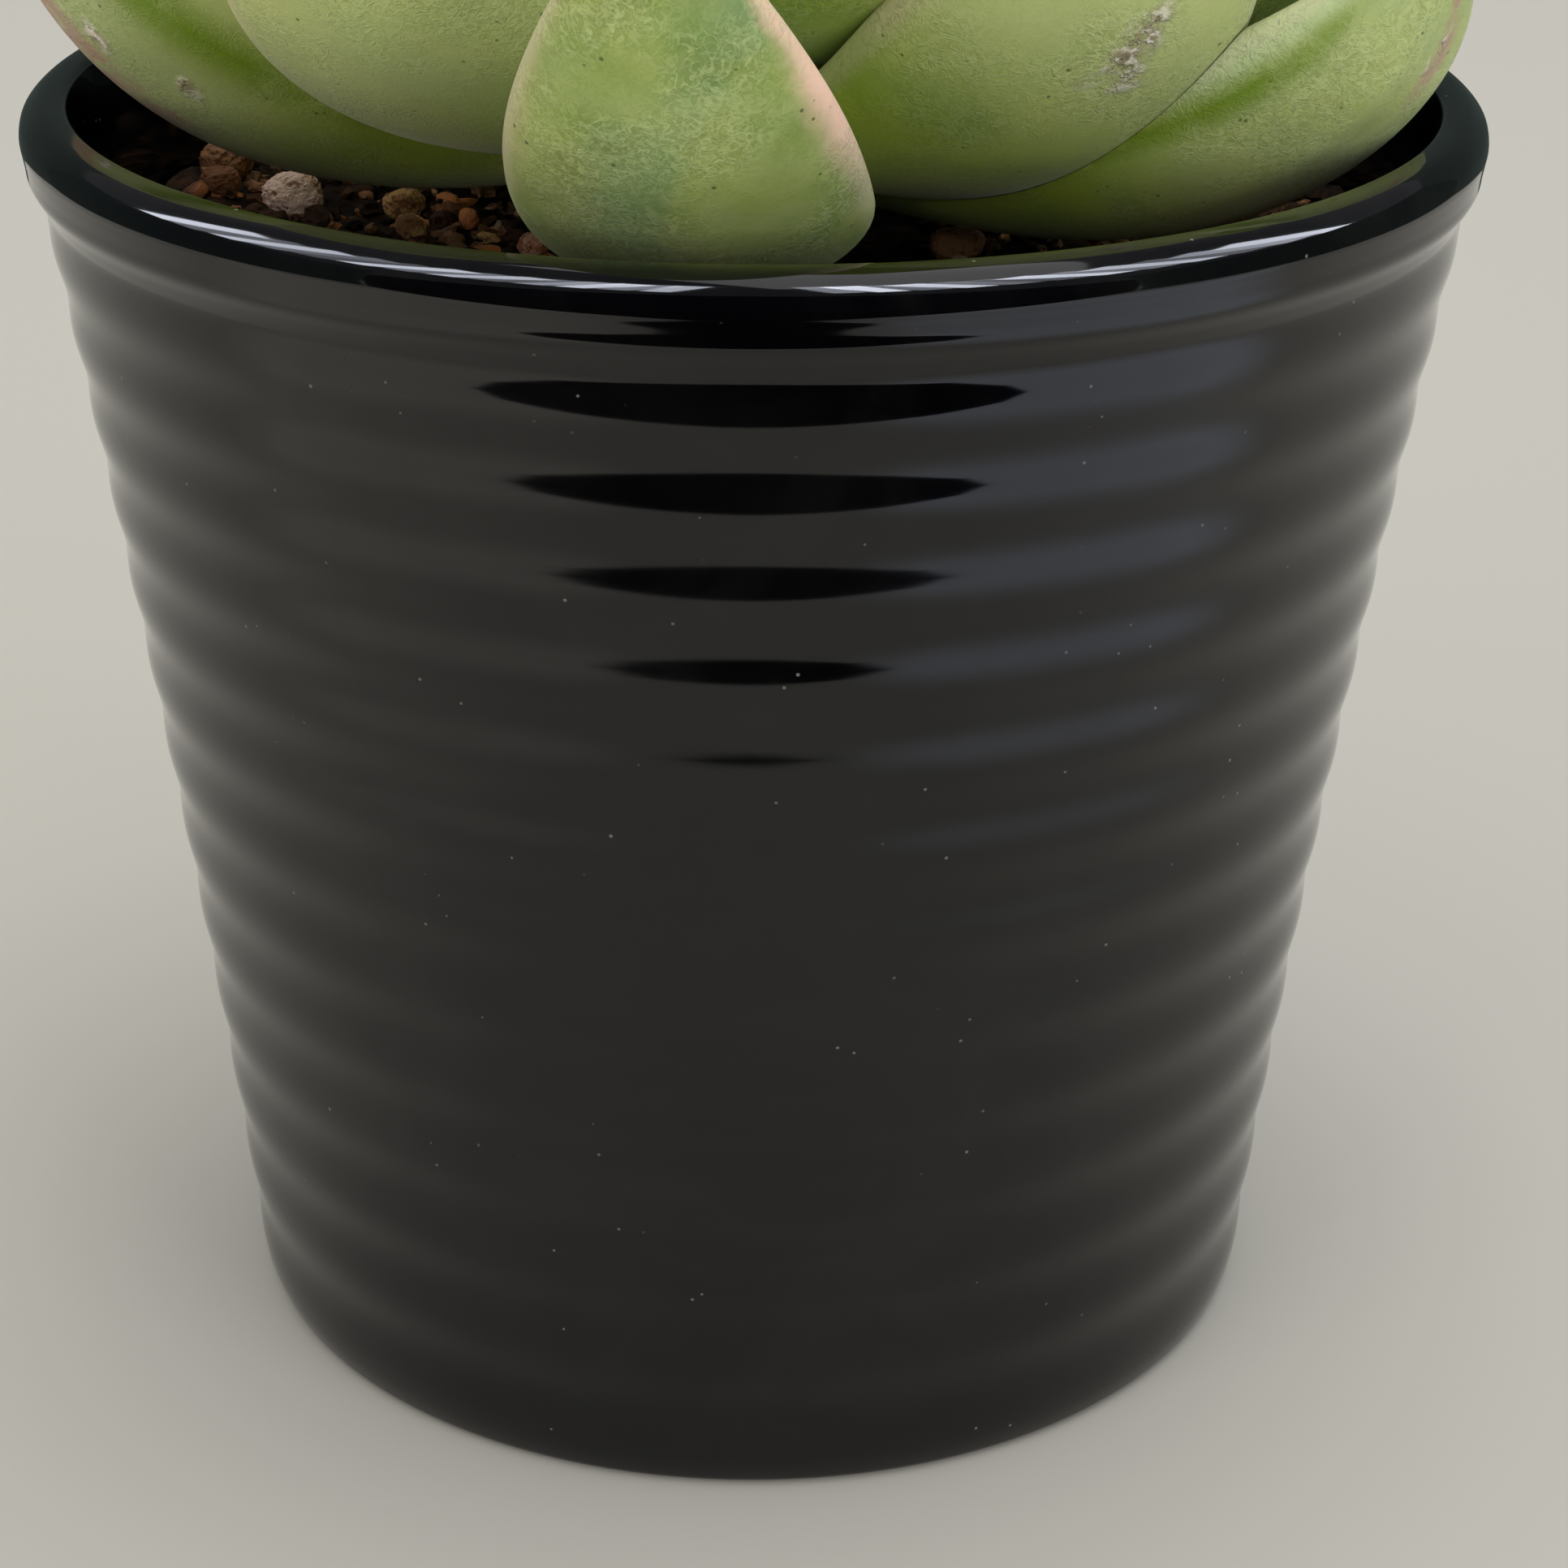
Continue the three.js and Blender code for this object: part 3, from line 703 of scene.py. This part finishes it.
def work_object(name, points, faces):
    made = bpy.data.objects.new(name, new_mesh(name, points, faces))
    bpy.context.scene.collection.objects.link(made)
    return made


def boolean(base, others, operation):
    """The mesh of an object after it is cut by, or joined with, the others in turn."""
    for other in others:
        step = base.modifiers.new("step", "BOOLEAN")
        step.operation = operation
        step.solver = "MANIFOLD"
        step.object = other
    graph = bpy.context.evaluated_depsgraph_get()
    mesh = bpy.data.meshes.new_from_object(base.evaluated_get(graph))
    base.modifiers.clear()
    return mesh


def largest_body(mesh):
    """Points and faces of the largest connected part of a mesh, in millimetres."""
    count = len(mesh.vertices)
    root = np.arange(count)
    edges = np.array([e.vertices[:] for e in mesh.edges])
    while True:
        low = np.minimum(root[edges[:, 0]], root[edges[:, 1]])
        before = root.copy()
        np.minimum.at(root, edges[:, 0], low)
        np.minimum.at(root, edges[:, 1], low)
        root = root[root]
        if np.array_equal(before, root):
            break
    names, sizes = np.unique(root, return_counts=True)
    keep = root == names[sizes.argmax()]
    index = np.cumsum(keep) - 1
    places = np.array([v.co[:] for v in mesh.vertices])
    faces = [tuple(int(index[k]) for k in p.vertices) for p in mesh.polygons if keep[p.vertices[0]]]
    return places[keep] / MM, faces


def carried_over(points, sources):
    """The skin values of the nearest original points, after cuts and joins."""
    every = np.vstack([p for p, _ in sources])
    tree = KDTree(len(every))
    for k, place in enumerate(every):
        tree.insert(place, k)
    tree.balance()
    nearest = [tree.find(place)[1] for place in points]
    return {key: np.concatenate([v[key] for _, v in sources])[nearest] for key in sources[0][1]}


def leaf_values(n, values):
    # The front leaves' tone is painted light, set to even out how brightly each one is lit.
    tone = np.full(len(values["along"]), PALE_AND_LIGHT.get(n, 0.5 + 0.5 * draw(n + 61)))
    return {**values, "tone": tone, **marks(n, values)}


def make_leaves():
    """The large leaves, each cut back from the younger ones that press on it, and the heart."""
    made, cutters = {}, {}
    for n in range(ALL_LEAVES):
        points, faces, values = leaf_surface(n, *(LARGE_GRID if n < LARGE_LEAVES else SMALL_GRID))
        made[n] = (points, faces, leaf_values(n, values))
        grown_points, grown_faces, _ = leaf_surface(n, *CUTTER_GRID, grow=LEAF_PLAY, detail=0)
        cutters[n] = work_object(f"cutter_{n}", grown_points, grown_faces)
        cutters[n]["box"] = np.array([grown_points.min(0), grown_points.max(0)]).tolist()
    skin_material = leaf_skin("leaf_skin")
    for n in range(LARGE_LEAVES):
        points, faces, values = made[n]
        near = [cutters[m] for m in range(n + 1, ALL_LEAVES)
                if boxes_meet(points, np.array(cutters[m]["box"]))]
        base = work_object(f"base_{n}", points, faces)
        cut_points, cut_faces = largest_body(boolean(base, near, "DIFFERENCE"))
        kept = carried_over(cut_points, [(points, values)])
        mesh = new_mesh(f"leaf_{n:02d}_skin", cut_points, cut_faces, kept)
        show(f"leaf_{n:02d}_skin", mesh, skin_material, [f"leaf_{n:02d}"], sharp=45)
        bpy.data.objects.remove(base)
    make_heart(made)
    for cutter in cutters.values():
        bpy.data.objects.remove(cutter)


def make_heart(made):
    """The small leaves round the growing tip, joined into one piece with it."""
    angle = np.linspace(-90, 90, 20)[1:-1]
    profile = [(0, STEM_TOP + 1 - TIP_HEIGHT)]
    profile += [(STEM_TIP_RADIUS * math.cos(math.radians(a)),
                 STEM_TOP + 1 + TIP_HEIGHT * math.sin(math.radians(a))) for a in angle]
    profile.append((0, STEM_TOP + 1 + TIP_HEIGHT))
    points, faces = turned(profile, 24)
    flat = np.zeros(len(points))
    tip_values = {key: flat for key in made[LARGE_LEAVES][2]}
    base = work_object("growing_tip", points, faces)
    small = [work_object(f"small_{n}", *made[n][:2]) for n in range(LARGE_LEAVES, ALL_LEAVES)]
    heart_points, heart_faces = largest_body(boolean(base, small, "UNION"))
    sources = [(points, tip_values)] + [(made[n][0], made[n][2]) for n in range(LARGE_LEAVES, ALL_LEAVES)]
    kept = carried_over(heart_points, sources)
    mesh = new_mesh("heart_skin", heart_points, heart_faces, kept)
    show("heart_skin", mesh, leaf_skin("young_leaf_skin"), ["rosette_heart"], sharp=45)
    for work in [base, *small]:
        bpy.data.objects.remove(work)


# ------------------------------------------------------------------ stem

def make_stem():
    """A short woody stem with rings of old leaf scars."""
    heights = np.linspace(STEM_BOTTOM + 2.5, STEM_TOP, 90)
    profile = [(0, STEM_BOTTOM), (STEM_RADIUS - 1.5, STEM_BOTTOM)]
    profile += [(stem_radius(z) - 0.12 + 0.12 * math.sin(2.1 * z), z) for z in heights]
    profile.append((0, STEM_TOP))
    points, faces = turned(profile, 48)
    tint = np.full(len(points), 0.4)
    mesh = new_mesh("stem_bark", points, faces, {"tint": tint})
    show("stem_bark", mesh, bark_wood("stem_wood", "3d3022", "8f7a5a"), ["stem"], sharp=50)


# ------------------------------------------------------------------ soil

def soil_height(x, y):
    r = np.hypot(x, y)
    waves = np.sin(0.33 * x + 1.1) * np.cos(0.29 * y) + 0.6 * np.sin(0.61 * y - 0.47 * x)
    return SOIL_LEVEL + SOIL_HEAP * smoothstep(r, *HEAP_RING) + SOIL_BUMP * waves * smoothstep(r, *BUMP_RING)


def crumbly(x, y):
    """Height of the fine lumps at a place on the soil."""
    large, small = LUMP_SIZES
    coarse = noise.noise(Vector((x / large, y / large, 0.3)))
    fine = noise.noise(Vector((x / small, y / small, 4.1)))
    return SOIL_ROUGH * (coarse + 0.5 * fine)


def make_soil(material):
    bottom = FLOOR + GAP
    profile = [(0, bottom), (inner_radius(bottom) - GAP, bottom)]
    profile += [(inner_radius(z) - GAP, z) for z in (SOIL_LEVEL - 50, SOIL_LEVEL - 12, SOIL_LEVEL - 3)]
    rim = inner_radius(SOIL_LEVEL) - GAP
    hole = STEM_RADIUS + GAP
    rings = 64
    profile += [(rim + (hole - rim) * k / rings, SOIL_LEVEL) for k in range(rings + 1)]
    profile += [(hole, STEM_BOTTOM - GAP), (0, STEM_BOTTOM - GAP)]
    points, faces = turned(profile, 280)
    for k in np.nonzero(np.abs(points[:, 2] - SOIL_LEVEL) < 1e-6)[0]:
        x, y = points[k, :2]
        points[k, 2] = soil_height(x, y) + crumbly(x, y)
    tint = [0.18 + 0.5 * noise.noise(Vector((p[0] / 3, p[1] / 3, 7.7))) for p in points]
    mesh = new_mesh("soil_crumbs", points, faces, {"tint": tint})
    show("soil_crumbs", mesh, material, ["soil"], sharp=60)


def ball(levels):
    """Points and faces of a unit ball of triangles."""
    golden = (1 + math.sqrt(5)) / 2
    points = [(-1, golden, 0), (1, golden, 0), (-1, -golden, 0), (1, -golden, 0)]
    points += [(0, -1, golden), (0, 1, golden), (0, -1, -golden), (0, 1, -golden)]
    points += [(golden, 0, -1), (golden, 0, 1), (-golden, 0, -1), (-golden, 0, 1)]
    points = [Vector(p).normalized() for p in points]
    faces = [(0, 11, 5), (0, 5, 1), (0, 1, 7), (0, 7, 10), (0, 10, 11), (1, 5, 9), (5, 11, 4), (11, 10, 2),
             (10, 7, 6), (7, 1, 8), (3, 9, 4), (3, 4, 2), (3, 2, 6), (3, 6, 8), (3, 8, 9), (4, 9, 5),
             (2, 4, 11), (6, 2, 10), (8, 6, 7), (9, 8, 1)]
    for _ in range(levels):
        middles, finer = {}, []

        def middle(a, b):
            key = (min(a, b), max(a, b))
            if key not in middles:
                points.append(((points[a] + points[b]) / 2).normalized())
                middles[key] = len(points) - 1
            return middles[key]

        for a, b, c in faces:
            ab, bc, ca = middle(a, b), middle(b, c), middle(c, a)
            finer += [(a, ab, ca), (b, bc, ab), (c, ca, bc), (ab, bc, ca)]
        faces = finer
    return np.array([p[:] for p in points]), faces


# Lumps of a stone: their height as a share of its size, how close they are, and their shift per stone.
STONE_LUMPS = [(0.10, 1.6, (1, 0, 0)), (0.08, 4.5, (0, 1, 0)), (0.05, 11, (0, 0, 0))]


def make_stones(materials):
    """The stones and bark of the model, each with a rough surface."""
    points, faces = ball(5)
    for k, (name, x, y, size, turn, kind, tint) in enumerate(STONES):
        lump = points.copy()
        for i, p in enumerate(points):
            at = Vector(p)
            swell = sum(high * noise.noise(at * rate + Vector(shift) * k)
                        for high, rate, shift in STONE_LUMPS)
            lump[i] *= 1 + swell
        lump = np.sign(lump) * np.abs(lump) ** STONE_BLUNT
        lump *= size
        c, s = math.cos(math.radians(turn)), math.sin(math.radians(turn))
        lump = lump @ np.array([[c, s, 0], [-s, c, 0], [0, 0, 1]])
        lump += (x, y, soil_height(x, y) + STONE_STAND * size[2])
        mesh = new_mesh(f"{name}_rough", lump, faces, {"tint": np.full(len(lump), tint)})
        show(f"{name}_rough", mesh, materials[kind], [name])


# Loose grains: material, how many, from and to size, how long they are, from and to tint.
GRAINS = [
    ("soil", 2200, 0.35, 1.15, 1.4, 0.0, 0.9),
    ("gravel", 170, 0.5, 1.3, 1.2, 0.1, 1.0),
    ("pumice", 50, 0.35, 0.9, 1.1, 0.4, 1.0),
    ("bark", 120, 0.5, 1.0, 2.6, 0.0, 1.0),
]
GRAIN_SEED = 11
GRAIN_RING = (16, 50.5)
GRAIN_STAND = 0.25        # how high a grain's middle is, as a share of its size
# Single grains at their own places: material, place on the soil, size, tint.
PLACED = [
    ("pumice", -22.4, 6.4, 0.5, 1.0), ("gravel", -25.6, 0.9, 0.9, 0.5),
    ("gravel", -23.4, -1.3, 0.7, 0.4), ("gravel", -43.6, 11.5, 1.0, 0.4),
]


def make_grains(materials, above):
    """Crumbs, grit and bark strewn on the open soil, under no leaf that they would reach."""
    rng = np.random.default_rng(GRAIN_SEED)
    form, form_faces = ball(1)
    for kind, count, smallest, largest, length, tint_from, tint_to in GRAINS:
        points, faces, tints = [], [], []
        placed = [grain[1:] for grain in PLACED if grain[0] == kind]
        while len(tints) < count:
            r = math.sqrt(rng.uniform(GRAIN_RING[0] ** 2, GRAIN_RING[1] ** 2))
            turn = rng.uniform(0, 2 * math.pi)
            size = smallest + (largest - smallest) * rng.uniform() ** 2
            shape = rng.uniform(0.65, 1.3, (len(form), 1))
            spin = Matrix.Rotation(rng.uniform(0, 2 * math.pi), 3, "Z")
            spin = spin @ Matrix.Rotation(rng.normal(0, 0.3), 3, "Y")
            tint = rng.uniform(tint_from, tint_to)
            x, y = r * math.cos(turn), r * math.sin(turn)
            own_place = len(tints) < len(placed)
            if own_place:
                x, y, size, tint = placed[len(tints)]
            z = soil_height(x, y) + crumbly(x, y) + GRAIN_STAND * size
            reach = max(length, 1) * size
            if not own_place and r + reach > inner_radius(z) - 0.5:
                continue
            under = above.ray_cast(Vector((x, y, z - size)) * MM, Vector((0, 0, 1)), 2.4 * reach * MM)[0]
            if under and not own_place:
                continue
            lump = form * shape * (length * size, size, 0.8 * size)
            lump = lump @ np.array(spin).T + (x, y, z)
            start = len(form) * len(tints)
            faces += [(a + start, b + start, c + start) for a, b, c in form_faces]
            points.append(lump)
            tints.append(tint)
        values = {"tint": np.repeat(tints, len(form))}
        mesh = new_mesh(f"{kind}_grains", np.vstack(points), faces, values)
        show(f"{kind}_grains", mesh, materials[kind], sharp=40)


def leaves_above():
    """The undersides that a grain must stay clear of."""
    graph = bpy.context.evaluated_depsgraph_get()
    points, faces = [], []
    for n in range(12):
        mesh = bpy.data.objects[f"leaf_{n:02d}_skin"].evaluated_get(graph).data
        start = len(points)
        points += [v.co.copy() for v in mesh.vertices]
        faces += [[start + k for k in p.vertices] for p in mesh.polygons]
    return BVHTree.FromPolygons(points, faces)


def make_ground():
    materials = {
        "soil": grit("potting_soil", "120b06", "452a18", "8a6442", "1c110a"),
        "gravel": grit("gravel_stone", "5a3a28", "966a4c", "d3a566", "74482c", 0.2),
        "pumice": grit("pumice_stone", "8f5536", "dba488", "fbdcc8", "b0622f", 0.45),
        "bark": bark_wood("bark_chip", "3a1d0e", "b87138"),
    }
    make_soil(materials["soil"])
    make_stones(materials)
    make_grains(materials, leaves_above())


# ------------------------------------------------------------------ floor and light

FLOOR_HALF = 4000

# Cards round the pot: half their width, and each one's own sizes.
CARD_HALF = 450
FRONT_CARD = (188, 0.3, 215)    # how near, how fast it goes back to the sides, how high
GREY_CARD = (310, 350, 330)     # how far to the front, how far back, how high

# A glow on either side: name, side, strength, tint; and where it lies round the pot, metres.
GLOWS = [("glow_left", -1, 0.3, "fff6ea"), ("glow_right", 1, 0.75, "d5e0ff")]
GLOW_INNER = (0.12, 0.24)
GLOW_OUTER = (0.44, 0.32)

WINDOW_DISTANCE = 1.6
WINDOW_SAG = 0.12         # how much lower the panes stand to the sides
PANE_SPREAD = 0.9         # how much brighter or darker than the mean a pane can be


def stage_piece(name, mesh, material, gloss_only):
    """A piece round the object that isn't part of it, seen by the gloss alone or by all."""
    mesh.materials.append(material)
    piece = bpy.data.objects.new(name, mesh)
    if gloss_only:
        piece.visible_camera = False
        piece.visible_diffuse = False
        piece.visible_shadow = False
    bpy.context.scene.collection.objects.link(piece)


def make_floor():
    corners = [(x * FLOOR_HALF, y * FLOOR_HALF, 0) for x, y in ((-1, -1), (1, -1), (1, 1), (-1, 1))]
    f = Finish("pale_floor", Base_Color="cdc9be", Roughness=0.9, Specular_IOR_Level=0.2)
    stage_piece("floor", new_mesh("floor", corners, [(0, 1, 2, 3)]), f.material, False)


def make_cards():
    """Cards round the pot that only gloss reflects: black and near in front, grey farther behind."""
    near, slant, high = FRONT_CARD
    across = np.linspace(-CARD_HALF, CARD_HALF, 61)
    front = [(x, -near - slant * (math.hypot(x, 25) - 25), high) for x in across]
    ahead, behind, high = GREY_CARD
    back = [(CARD_HALF, -ahead, high), (CARD_HALF, behind, high),
            (-CARD_HALF, behind, high), (-CARD_HALF, -ahead, high)]
    for name, line, shade in (("black_card", front, "030303"), ("grey_card", back, "4a5450")):
        points = [(x, y, 0) for x, y, _ in line] + line
        count = len(line)
        faces = [(i, i + 1, i + 1 + count, i + count) for i in range(count - 1)]
        f = Finish(name, Base_Color=shade, Roughness=0.95, Specular_IOR_Level=0.0)
        stage_piece(name, new_mesh(name, points, faces), f.material, True)


def make_glow():
    """A glow over the floor at either side in front, which only gloss reflects."""
    for name, side, power, tint in GLOWS:
        inner, outer = 20, CARD_HALF
        corners = [(side * x, y, 1) for x, y in ((inner, -outer), (outer, -outer), (outer, 0), (inner, 0))]
        f = Finish(name)
        parts = f.nodes.new("ShaderNodeSeparateXYZ")
        f.links.new(f.place, parts.inputs[0])
        x, y = parts.outputs[0], parts.outputs[1]
        far = f.math("SQRT", f.math("ADD", f.times(x, x), f.times(y, y)))
        ring = f.times(f.span(far, *GLOW_INNER), f.span(far, *GLOW_OUTER))
        wedge = f.times(f.span(f.times(x, float(side)), 0.03, 0.1), f.span(y, -0.02, -0.09))
        glow = f.nodes.new("ShaderNodeEmission")
        f.feed(glow.inputs["Color"], tint)
        f.feed(glow.inputs["Strength"], f.times(ring, wedge, power))
        both = f.nodes.new("ShaderNodeAddShader")
        f.feed(both.inputs[0], glow.outputs[0])
        f.feed(both.inputs[1], f.nodes.new("ShaderNodeBsdfTransparent").outputs[0])
        f.feed(f.nodes["Material Output"].inputs["Surface"], both.outputs[0])
        stage_piece(name, new_mesh(name, corners, [(0, 1, 2, 3)]), f.material, True)


def area_light(name, place, at, width, height, power, tint="ffffff"):
    data = bpy.data.lights.new(name, "AREA")
    data.shape = "RECTANGLE"
    data.size, data.size_y = width, height
    data.energy = power
    data.color = colour(tint)[:3]
    light = bpy.data.objects.new(name, data)
    light.location = place
    light.rotation_euler = (Vector(at) - Vector(place)).to_track_quat("-Z", "Y").to_euler()
    light.visible_camera = False
    bpy.context.scene.collection.objects.link(light)
    return light


def window(name, turn, low, high, wide, panes, power, lit):
    """Panes in a row that stands lower to the sides: their place, in degrees, and what they light."""
    for k in range(panes):
        way = math.radians(turn + wide * ((k + 0.5) / panes - 0.5))
        lift = math.radians((low + high) / 2) - WINDOW_SAG * way * way
        toward = Vector((math.sin(way) * math.cos(lift), -math.cos(way) * math.cos(lift), math.sin(lift)))
        across = WINDOW_DISTANCE * math.radians(wide) * math.cos(lift) / panes
        tall = WINDOW_DISTANCE * math.radians(high - low)
        centre = Vector((0, 0, 0.1))
        place = centre + toward * WINDOW_DISTANCE
        watts = power / panes * (1 + PANE_SPREAD * draw(k + panes))
        pane = area_light(f"{name}_{k}", place, centre, across, tall, watts, "ebf0ff")
        pane.light_linking.receiver_collection = lit


def make_light():
    centre = (0, 0, 0.1)
    area_light("overhead", (0.2, 0.1, 1.5), centre, 1.2, 0.9, 5)
    for name, x, power, tint in (("front_left", -1.0, 6.0, "fff4e6"), ("front_right", 1.05, 7.5, "f3f6ff")):
        fill = area_light(name, (x, -1.1, 0.35), centre, 0.8, 0.5, power, tint)
        fill.visible_glossy = False
    lit = bpy.data.collections.new("lit_by_windows")
    lit.objects.link(bpy.data.objects["pot_glazed"])
    window("window_left", -64, 50, 72, 100, 13, 30, lit)
    window("window_right", 62, 50, 72, 96, 12, 32, lit)
    world = bpy.data.worlds.new("studio")
    bpy.context.scene.world = world
    world.use_nodes = True
    nodes, links = world.node_tree.nodes, world.node_tree.links
    path = nodes.new("ShaderNodeLightPath")
    glossy = nodes.new("ShaderNodeMix")
    links.new(path.outputs["Is Glossy Ray"], glossy.inputs[0])
    glossy.inputs[2].default_value = 0.75
    glossy.inputs[3].default_value = 0.16
    links.new(glossy.outputs[0], nodes["Background"].inputs["Strength"])
    nodes["Background"].inputs["Color"].default_value = (0.96, 0.98, 1.0, 1)
    bpy.context.scene.view_settings.view_transform = "Standard"


# ------------------------------------------------------------------ the scene

make_camera()
make_pot()
make_leaves()
make_stem()
make_ground()
make_floor()
make_cards()
make_glow()
make_light()
